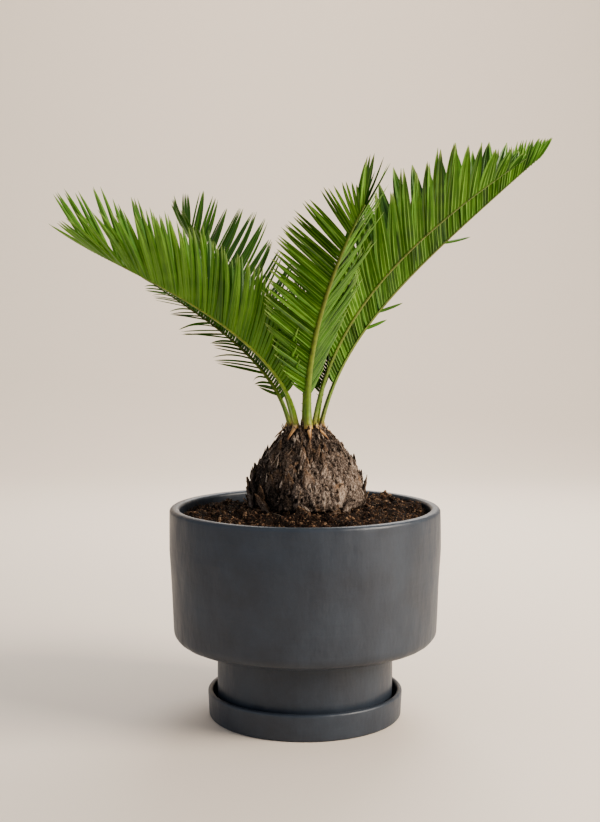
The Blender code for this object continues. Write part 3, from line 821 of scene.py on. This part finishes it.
frondShape = {  # millimetres and degrees, the same rule as the solids, with more and finer leaflets
    "ribSamples": 200, "ribRings": 90, "ribSides": 10,
    "petioleWidth": 7.2, "ribWidth": 5.2, "ribEndWidth": 1.4, "petioleReach": 0.09, "depthShare": 0.85,
    "foot": 257.8, "leafletsEnd": 0.985, "late": 2, "last": 8, "firstLoss": 0.75, "firstReach": 0.13,
    "rootOut": 0.25, "plainPitch": 4.1, "leafletWidth": 5.4, "fullWidthFrom": 55, "narrows": 0.6,
    "narrowest": 0.68, "fold": 0.32, "thick": 0.16, "rows": 9,
    "tilt": 20, "middle": 0.55, "shortest": 9, "missing": 0.012, "blocked": 0.82,
    "unevenLength": 0.04, "unevenAngle": 2.0, "unevenLift": 4.0, "unevenTilt": 14, "unevenCurl": 0.04,
    "strayWithin": 0.006, "strayAngle": 33, "strayVee": -72, "strayLength": 0.4,
    "thornEvery": 7, "thornLength": (2.0, 4.5),
}


# One frond: its curve as in the solids, then how its leaflet tips draw together, which is how
# many to a group and how far towards its middle, and its two rows. What isn't given is the usual
def frondOf(left, right, **given):
    frond = {"swing": 0, "bare": 0.14, "stout": 0.9, "pitch": 3.0, "groups": (3, 4), "drawn": 0.5,
             # The darkening of a frond and of each row is painted shade, strongest near the rib, on leaflets
             # that lie in shadow; below zero it is painted light
             "ragged": 0.1, "dark": 0.1, "pale": 0, "ribTone": 1, **given}
    row = {"angle": (62, 60, 14), "curl": (0.12, 0.05), "end": 0.5, "fade": 4, "loose": 1, "wide": 1,
           "every": 1, "spread": 0, "strays": (), "dark": frond["dark"]}
    return {**frond, "left": {**row, **left}, "right": {**row, **right}}


fronds = {
    "frond_front": frondOf(
        foot=(3, -17), tip=(48, -88, 446), rise=98, risePull=78, finish=44, finishPull=48, swing=1,
        stout=1.2, pitch=3.3, groups=(3, 5), drawn=0.14, ragged=0.05, dark=0, ribTone=1.1,
        left=dict(angle=(34, 18, 20), vee=(0, 62, 100), leaflet=72, end=0.62, fade=2.5, dark=0.3,
                  loose=1.6, wide=1.25, every=0.5, spread=75),
        right=dict(angle=(58, 68, 22), vee=(15, 24, 36), leaflet=65, end=0.35, fade=7, curl=(0.08, -0.08))),
    "frond_left_front": frondOf(
        foot=(-7, -10), tip=(-187, -45, 415), rise=85, risePull=81, finish=30, finishPull=50, swing=3,
        bare=0.13, stout=1, pitch=3.2, groups=(3, 6), drawn=0.26, ragged=0.08, dark=-0.05, pale=0.4,
        ribTone=1.7,
        left=dict(angle=(68, 44, 6), vee=(58, 34, 0), leaflet=75, end=0.45, fade=7, curl=(0.2, 0.05),
                  loose=1.5),
        right=dict(angle=(68, 52, 30), vee=(58, 62, 70), leaflet=76, end=0.72, fade=7, curl=(0.2, 0.05),
                   loose=1.5)),
    "frond_right_front": frondOf(
        foot=(7, -6), tip=(196, 20, 495), rise=81, risePull=88, finish=34, finishPull=151, swing=3,
        bare=0.2, stout=0.95, pitch=4.0, drawn=0.95, ragged=0.15, dark=0, ribTone=0.8,
        left=dict(angle=(62, 60, 18), vee=(62, 62, 62), leaflet=80, end=0.12, fade=3.4),
        right=dict(angle=(62, 60, 18), vee=(62, 62, 62), leaflet=78, end=0.12, fade=3.4)),
    "frond_left_back": frondOf(
        foot=(-9, 10), tip=(-123, 140, 447), rise=72, risePull=82, finish=46, finishPull=92, swing=1,
        pitch=2.7, groups=(5, 7), drawn=0.6, ragged=0.14,
        left=dict(vee=(44, 56, 60), leaflet=76, end=0.32),
        right=dict(vee=(44, 56, 60), leaflet=78)),
    "frond_right": frondOf(
        foot=(13.5, 3), tip=(220, 65, 505), rise=76, risePull=87, finish=41, finishPull=173, swing=8,
        bare=0.12, pitch=3.3, groups=(2, 4), drawn=0.3, ragged=0.08, ribTone=0.85,
        left=dict(vee=(30, 40, 50), leaflet=64, end=0.35, fade=3),
        right=dict(vee=(70, 80, 80), leaflet=64, end=0.35, fade=3, strays=(0.2, 0.27, 0.58))),
    "frond_left": frondOf(
        foot=(-13, 2), tip=(-161, 60, 403), rise=77, risePull=78, finish=45, finishPull=46,
        bare=0.1, pitch=2.9, groups=(3, 5), drawn=0.7, ragged=0.3, dark=0.2,
        left=dict(angle=(42, 24, 10), vee=(-42, -20, 40), leaflet=44, end=0.1, fade=1.5,
                  curl=(0.12, -0.4), every=3, loose=4),
        right=dict(angle=(70, 60, 20), vee=(82, 5, 5), leaflet=46, end=0.7)),
    "frond_right_back": frondOf(
        foot=(10, 12), tip=(92, 118, 408), rise=80, risePull=80, finish=34, finishPull=80,
        left=dict(vee=(50, 60, 62), leaflet=56), right=dict(vee=(44, 56, 60), leaflet=58)),
    "frond_back": frondOf(
        foot=(0, 15), tip=(16, 140, 392), rise=95, risePull=79, finish=26, finishPull=90,
        left=dict(vee=(68, 68, 68), leaflet=50), right=dict(vee=(66, 66, 66), leaflet=52)),
}


# Fresh cycad leaflet: stiff and waxy, deep green with a dull shine, a pale line along its
# middle, a bleached point, and a paler underside
def leafletWax():
    leaf = [(0.15, "#294b12"), (0.45, "#48751d"), (0.82, "#77a338")]
    material, add, shader, shade, along, under, middle, patches = newMaterial(
        "leafletWax", ["shade", "along", "under", "middle"], [(14, 3, 0.5)], IOR=1.45,
        Specular_IOR_Level=0.45)
    colour = add("ValToRGB", {0: summed(add, -0.1, (patches, 0.5), (shade, 0.5))}, leaf)
    onFold = add("MapRange", {0: middle, 1: 0.72, 2: 1.0, 3: 0, 4: 0.5})
    atPoint = add("MapRange", {0: along, 1: 0.84, 2: 1.0, 3: 0, 4: 0.6})
    beneath = add("Math", {0: under, 1: 0.5}, operation="MULTIPLY")
    for share, tint in ((onFold, "#93b457"), (atPoint, "#a9b872"), (beneath, "#466f22")):
        colour = add("Mix", {0: share, 6: colour, 7: linear(tint)}, data_type="RGBA")
    gloss = add("MapRange", {0: patches, 3: 0.32, 4: 0.5})
    feed(shader, {"Base Color": colour, "Roughness": gloss})
    return material


# Rib and petiole: smooth and waxy, green at the foot and more olive further out
def petioleWax():
    stops = [(0.0, "#a07a3e"), (0.02, "#7f8636"), (0.06, "#64802a"), (0.25, "#6a7a2a"), (0.6, "#626a26"),
             (1.0, "#536a26")]
    material, add, shader, shade, along, fleck = newMaterial(
        "petioleWax", ["shade", "along"], [(3.5, 4, 0.5)], Roughness=0.42, IOR=1.45)
    lift = add("MapRange", {0: fleck, 1: 0.3, 2: 0.7, 3: 0.7, 4: 1.12})
    # The rib's shade mark scales its colour: partly the rib's own tone, partly painted light that lifts a rib
    # lying in shade
    lift = add("Math", {0: lift, 1: shade}, operation="MULTIPLY")
    toned = add("Mix", {0: 1.0, 6: add("ValToRGB", {0: along}, stops), 7: lift}, data_type="RGBA",
                blend_type="MULTIPLY")
    bump = add("Bump", {"Strength": 0.25, "Distance": 0.0003, "Height": fleck})
    feed(shader, {"Base Color": toned, "Normal": bump})
    return material


def direction(heading, slopeDegrees):
    slope = radians(slopeDegrees)
    return Vector((cos(slope) * cos(heading), cos(slope) * sin(heading), sin(slope)))


# A frond's rib: the points of its curve, in millimetres, and how far along each one is
def makeRib(name):
    f = fronds[name]
    heading = atan2(f["tip"][1] - f["foot"][1], f["tip"][0] - f["foot"][0])
    swing = radians(f["swing"])
    start, end = Vector((*f["foot"], frondShape["foot"])), Vector(f["tip"])
    rise = start + direction(heading + swing, f["rise"]) * f["risePull"]
    finish = end - direction(heading - swing, f["finish"]) * f["finishPull"]
    points = []
    for i in range(frondShape["ribSamples"] + 1):
        t = i / frondShape["ribSamples"]
        u = 1 - t
        points.append(start * u**3 + rise * 3 * u * u * t + finish * 3 * u * t * t + end * t**3)
    reached = [0.0]
    for a, b in zip(points, points[1:]):
        reached.append(reached[-1] + (b - a).length)
    return {"name": name, "frond": f, "heading": heading, "points": points, "reached": reached}


# Place, forward, left and up at a share of the rib's length
def ribFrame(rib, share):
    points, reached = rib["points"], rib["reached"]
    wanted = share * reached[-1]
    i = min(range(1, len(points) - 1), key=lambda k: abs(reached[k] - wanted))
    forward = (points[i + 1] - points[i - 1]).normalized()
    left = Vector((-sin(rib["heading"]), cos(rib["heading"]), 0))
    left = (left - forward * left.dot(forward)).normalized()
    return points[i] + forward * (wanted - reached[i]), forward, left, forward.cross(left)


def ribWidth(rib, share):
    f = frondShape
    swelling = (f["petioleWidth"] - f["ribWidth"]) * exp(-share / f["petioleReach"])
    plain = f["ribEndWidth"] + (f["ribWidth"] - f["ribEndWidth"]) * (1 - share)
    return (plain + swelling) * rib["frond"]["stout"]


# A closed tube, round below and flattened along its upper side
def ribTube(rib):
    f = frondShape
    bm = bmesh.new()
    along, shade = bm.verts.layers.float.new("along"), bm.verts.layers.float.new("shade")
    rings = []
    for i in range(f["ribRings"] + 1):
        share = i / f["ribRings"]
        place, forward, left, up = ribFrame(rib, share)
        half = ribWidth(rib, share) / 2
        ring = []
        for c, d in corners(f["ribSides"], 0.5):
            spot = place + left * half * c + up * half * min(0.45, d * f["depthShare"])
            if i == 0:
                spot -= forward * (spot.z - f["foot"]) / forward.z
            ring.append(bm.verts.new(spot * mm))
            # Each ring carries the frond's rib tone, partly painted light
            ring[-1][along], ring[-1][shade] = share, rib["frond"]["ribTone"]
        rings.append(ring)
    sew(bm, rings, capped=True)
    return bm


# A row's angle at a share of its leafy part: from the first value to the late one, and to the
# last one close to the tip
def alongRow(degrees, leafy):
    first, late, last = degrees
    turned = first + (late - first) * leafy ** frondShape["late"]
    return radians(turned + (last - late) * leafy ** frondShape["last"])


# One leaflet: its root, directions, length, width and curl, and whether it is kept. Another rib
# in its way shortens it
def leafletAt(rib, share, leafy, side, grouped, dice, ribTrees):
    f = frondShape
    row = rib["frond"]["left" if side > 0 else "right"]
    place, forward, left, up = ribFrame(rib, share)
    loose = row["loose"]
    angle = alongRow(row["angle"], leafy) + radians(f["unevenAngle"] * loose * dice.uniform(-1, 1))
    vee = alongRow(row["vee"], leafy) + radians(f["unevenLift"] * loose * dice.uniform(-1, 1))
    vee += radians(row["spread"] * leafy**3 * dice.uniform(-1, 1))
    strays = any(abs(leafy - at) < f["strayWithin"] for at in row["strays"])
    if strays:
        angle, vee = radians(f["strayAngle"]), radians(f["strayVee"])
    outward = left * side * cos(vee) + up * sin(vee)
    along = forward * cos(angle) + outward * sin(angle)
    length = row["leaflet"] * (1 - f["firstLoss"] * exp(-leafy / f["firstReach"]))
    length *= 1 - (1 - row["end"]) * leafy ** row["fade"]
    length *= (1 + grouped) * (1 + f["unevenLength"] * dice.uniform(-1, 1))
    length *= f["strayLength"] if strays else 1
    across = (forward - along * forward.dot(along)).normalized()
    out = across.cross(along) * side
    tilt = radians(f["tilt"] + f["unevenTilt"] * dice.uniform(-1, 1))
    across = across * cos(tilt) - out * sin(tilt)
    fullness = (min(1, length / f["fullWidthFrom"]) * abs(sin(angle))) ** f["narrows"]
    width = f["leafletWidth"] * max(f["narrowest"], fullness)
    width *= sqrt(rib["frond"]["pitch"] / f["plainPitch"]) * row["wide"]
    root = place + left * side * ribWidth(rib, share) * f["rootOut"]
    for tree in ribTrees:
        hit = tree.ray_cast(root * mm, along, length * mm)
        if hit[0] is not None:
            length = f["blocked"] * hit[3] / mm
    curl = forward * row["curl"][0] + upward * row["curl"][1]
    curl = curl * (1 - f["middle"]) + out * f["unevenCurl"] * dice.uniform(-1, 1)
    kept = length > f["shortest"] and dice.random() > f["missing"]
    return {"root": root, "across": across, "along": along, "length": length, "width": width, "curl": curl,
            "leafy": leafy, "kept": kept, "strays": strays}


# The leaflets of one row, as points to grow them from. Neighbours lean together in small
# groups, and each group has a length and a shade of its own. A stray keeps out of that
def leafletRow(rib, side, ribTrees):
    f, frond = frondShape, rib["frond"]
    dice = random.Random(rib["name"] + str(side))
    row = frond["left" if side > 0 else "right"]
    pitch = frond["pitch"] * (1 + row["every"]) / 2
    leafyPart = f["leafletsEnd"] - frond["bare"]
    count = round(leafyPart * rib["reached"][-1] / pitch)
    points = []
    i = 0
    while i < count:
        size = min(dice.randint(*frond["groups"]), count - i)
        grouped = frond["ragged"] * dice.uniform(-1, 0.6)
        groupShade = dice.random()
        group = [leafletAt(rib, frond["bare"] + leafyPart * (k + 0.5) / count, k / (count - 1), side, grouped,
                           dice, ribTrees) for k in range(i, i + size)]
        middle = sum((one["root"] + one["along"] * one["length"] for one in group), Vector()) / size
        for one in group:
            leafy, length = one["leafy"], one["length"]
            pull = (middle - one["root"] - one["along"] * length) * frond["drawn"]
            if one["strays"]:
                pull = Vector()
            # Painted shade: a darkened row's leaflets are darker near the rib and less so towards the tip;
            # the pale share lightens the tips
            tone = frond["pale"] * leafy - row["dark"] * (1 - leafy**2)
            if one["kept"]:
                points.append(pointRow(
                    one["root"], one["across"], one["along"], (one["width"] / 2, length, one["width"] / 2),
                    one["curl"] * length + pull,
                    shade=clamp(0.4 * groupShade + 0.6 * dice.random() + tone)))
        i += size
    return points


# Grows a leaflet at each point, a folded blade swept along a line and narrowed by a curve, and
# joins the rib to them
def leafletTree():
    outline = [(0.06, 0.9), (0.2, 1.0), (0.4, 1.0), (0.6, 0.9), (0.78, 0.68), (0.9, 0.42)]
    tree, add, given = newTree("leaflets", Geometry=["Geometry"], Object=["Rib"], Material=["Material"],
                               Float=["Fold", "Thickness"], Int=["Rows"])
    line = add("CurvePrimitiveLine", {"End": (0, 1, 0)})
    steps = add("ResampleCurve", {"Curve": line, "Count": given["Rows"]})
    turned = add("SetCurveNormal", {"Curve": steps}, mode="Z_UP")
    share = add("SplineParameter").outputs["Factor"]
    marked = add("StoreNamedAttribute", {"Geometry": turned, "Name": "along", "Value": share})
    narrowed = add("FloatCurve", {"Value": share})
    points = narrowed.mapping.curves[0].points
    points[0].location, points[1].location = (0, 0.75), (1, 0.03)
    for x, y in outline:
        points.new(x, y)
    narrowed.mapping.update()
    # The blade's section: two edges, and the upper and lower middle of its fold
    low = add("Math", {0: given["Fold"], 1: given["Thickness"]})
    upper, lower = [add("CombineXYZ", {"Y": depth}) for depth in (given["Fold"], low)]
    section = add("CurvePrimitiveQuadrilateral",
                  {"Point 1": (-1, 0, 0), "Point 2": upper, "Point 3": (1, 0, 0), "Point 4": lower},
                  mode="POINTS")
    corner = add("InputIndex")
    for name, number, operation in (("under", 2.5, "GREATER_THAN"), ("middle", 2.0, "MODULO")):
        mark = add("Math", {0: corner, 1: number}, operation=operation)
        section = add("StoreNamedAttribute", {"Geometry": section, "Name": name, "Value": mark})
    blade = add("CurveToMesh", {"Curve": marked, "Profile Curve": section, "Scale": narrowed,
                                "Fill Caps": True})
    bent = bentCopies(add, given["Geometry"], blade, {})
    flat = add("SetShadeSmooth", {"Geometry": bent, "Shade Smooth": False})
    green = add("SetMaterial", {"Geometry": flat, "Material": given["Material"]})
    whole = add("JoinGeometry", {0: green})
    feed(whole, {0: add("ObjectInfo", {"Object": given["Rib"]}).outputs["Geometry"]})
    add("NodeGroupOutput", {0: whole})
    return tree


# Short thorns, in pairs along the bare petiole
def addThorns(rib, bm):
    f = frondShape
    dice = random.Random(rib["name"] + " thorns")
    along, shade = bm.verts.layers.float["along"], bm.verts.layers.float["shade"]
    # The thorns take the rib's tone, painted light included
    bare, tone = rib["frond"]["bare"], rib["frond"]["ribTone"]
    count = max(2, round(bare * rib["reached"][-1] / f["thornEvery"]))
    for i in range(count):
        for side in (1, -1):
            share = bare * (i + 0.7 + 0.3 * dice.random()) / count
            place, forward, left, up = ribFrame(rib, share)
            length = dice.uniform(*f["thornLength"]) * (0.5 + 0.5 * i / count)
            lean = (left * side + up * 0.45 + forward * dice.uniform(0.2, 0.8)).normalized()
            root = place + left * side * ribWidth(rib, share) * 0.4
            across, out = forward * 0.55, forward.cross(lean).normalized() * 0.3
            ring = [bm.verts.new((root + d) * mm) for d in (across, out, -across, -out)]
            tip = bm.verts.new((root + lean * length) * mm)
            for vert in (*ring, tip):
                vert[along], vert[shade] = share, tone
            bm.faces.new(ring)
            pointTo(bm, ring, tip)


def buildFronds():
    wax, ribWax = leafletWax(), petioleWax()
    grow = leafletTree()
    ribs = {name: makeRib(name) for name in fronds}
    tubes = {name: ribTube(rib) for name, rib in ribs.items()}
    trees = {name: BVHTree.FromBMesh(bm) for name, bm in tubes.items()}
    pieces = []
    for name, rib in ribs.items():
        others = [tree for other, tree in trees.items() if other != name]
        points = leafletRow(rib, 1, others) + leafletRow(rib, -1, others)
        addThorns(rib, tubes[name])
        stalk = shaped(name + "Stalk", tubes[name], 50, ribWax)
        words = name.split("_")
        title = words[0] + "".join(word.capitalize() for word in words[1:])
        piece = grown(grow, pointCloud(title + "Host", points), title, {
            "Rib": stalk, "Fold": frondShape["fold"], "Thickness": frondShape["thick"],
            "Rows": frondShape["rows"], "Material": wax})
        bpy.data.objects.remove(stalk)
        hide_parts(name)
        pieces.append(piece)
        print(title, len(points), "leaflets,", len(piece.data.polygons), "faces")
    return pieces


# Crown: the spread feet of the fronds, and the small pointed scales between them

crownSizes = {  # millimetres
    "heelDrop": 10, "heelRows": 10, "heelSides": 10, "heelHalf": (2.9, 0.6), "heelProud": 2.6,
    "heelStart": (4.0, 2.0),
    "scales": 60, "scaleWidth": (2.4, 3.8), "scaleLength": (5, 10), "scaleThick": 1.2, "scaleSink": 3,
}


# Young leaf base: firm and waxy, green at the petiole, then straw, orange-tan and brown below
def youngLeafBase():
    stops = [(0.0, "#86913a"), (0.16, "#d2ad7c"), (0.55, "#bb8e5c"), (0.85, "#7c5638"), (1.0, "#4d3220")]
    material, add, shader, along, streaks = newMaterial("youngLeafBase", ["along"], [(1.2, 3, 0.5)],
                                                        Roughness=0.6)
    lift = add("MapRange", {0: streaks, 1: 0.3, 2: 0.7, 3: 0.6, 4: 1.1})
    toned = add("Mix", {0: 1.0, 6: add("ValToRGB", {0: along}, stops), 7: lift}, data_type="RGBA",
                blend_type="MULTIPLY")
    feed(shader, {"Base Color": toned})
    return material


# Each petiole runs over the stem's edge and down its side as a narrowing strip
def petioleHeels(material):
    c = crownSizes
    bm = bmesh.new()
    along = bm.verts.layers.float.new("along")
    (wide, narrow), (above, before) = c["heelHalf"], c["heelStart"]
    for f in fronds.values():
        foot = Vector((*f["foot"], 0))
        out = foot.normalized()
        side = Vector((-out.y, out.x, 0))
        rings = []
        for i in range(c["heelRows"]):
            t = i / (c["heelRows"] - 1)
            height = frondShape["foot"] + above - (c["heelDrop"] + above) * t
            surface = stemRadius(min(height, stemSizes["top"])) + c["heelProud"] * (1 - t)
            share = (1 - t) ** 2
            centre = out * ((foot.length + before) * share + surface * (1 - share)) + upward * height
            half = wide + (narrow - wide) * t
            ring = [bm.verts.new((centre + side * half * a + out * half * 0.7 * b) * mm)
                    for a, b in corners(c["heelSides"])]
            for vert in ring:
                vert[along] = t
            rings.append(ring)
        sew(bm, rings, capped=True)
    return shaped("petioleHeels", bm, 60, material)


def crownScaleRows():
    c = crownSizes
    top, topRadius = stemSizes["top"], stemSizes["topRadius"]
    dice = random.Random(19)
    rows = []
    for i in range(c["scales"]):
        radius = topRadius * 1.1 * sqrt((i + 0.5) / c["scales"])
        angle = i * goldenAngle
        out = level(angle)
        lean = radians(4 + 26 * radius / topRadius + dice.uniform(-5, 5))
        along = out * sin(lean) + upward * cos(lean)
        length = dice.uniform(*c["scaleLength"])
        rows.append(pointRow(
            out * radius + upward * (top - c["scaleSink"]), along.cross(out).normalized(), along,
            (dice.uniform(*c["scaleWidth"]), length, c["scaleThick"]),
            -out * length * dice.uniform(0, 0.15), shade=0.8 * dice.random(), tan=0.9 * dice.random() ** 2))
    return rows


def buildCrown(setPieces, bark):
    scales = setBases(setPieces, "crownScalePieces", (40, 41, 42), [("crownScales", crownScaleRows(), 5)],
                      bark)
    return [petioleHeels(youngLeafBase()), *scales]


# Building it all

buildCamera()
buildLight()
buildBackdrop()
print("camera, floor and light")

glaze = mattStoneware()
pot = thrown("pottedBowl", potProfile(), potSizes, glaze)
saucer = thrown("potSaucer", saucerProfile(), saucerSizes, glaze)
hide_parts("pot")
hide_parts("saucer")
for piece in (pot, saucer):
    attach(piece, "root")
print("pot and saucer")

strew, setPieces = strewTree(), setPiecesTree()
for piece in buildSoil(strew):
    if piece.name == "soilBed":
        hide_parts("soil")
    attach(piece, "root")
    print(piece.name, len(piece.data.polygons), "faces")

stemPieces = buildStem(setPieces, strew)
stemPieces += buildCrown(setPieces, stemPieces[0].data.materials[0])
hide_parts("stem")
for piece in stemPieces:
    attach(piece, "root")
    print(piece.name, len(piece.data.polygons), "faces")

for piece in buildFronds():
    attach(piece, "root")

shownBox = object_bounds()
print("size:", [[round(v / mm, 1) for v in c] for c in (*cadBox, *shownBox)])
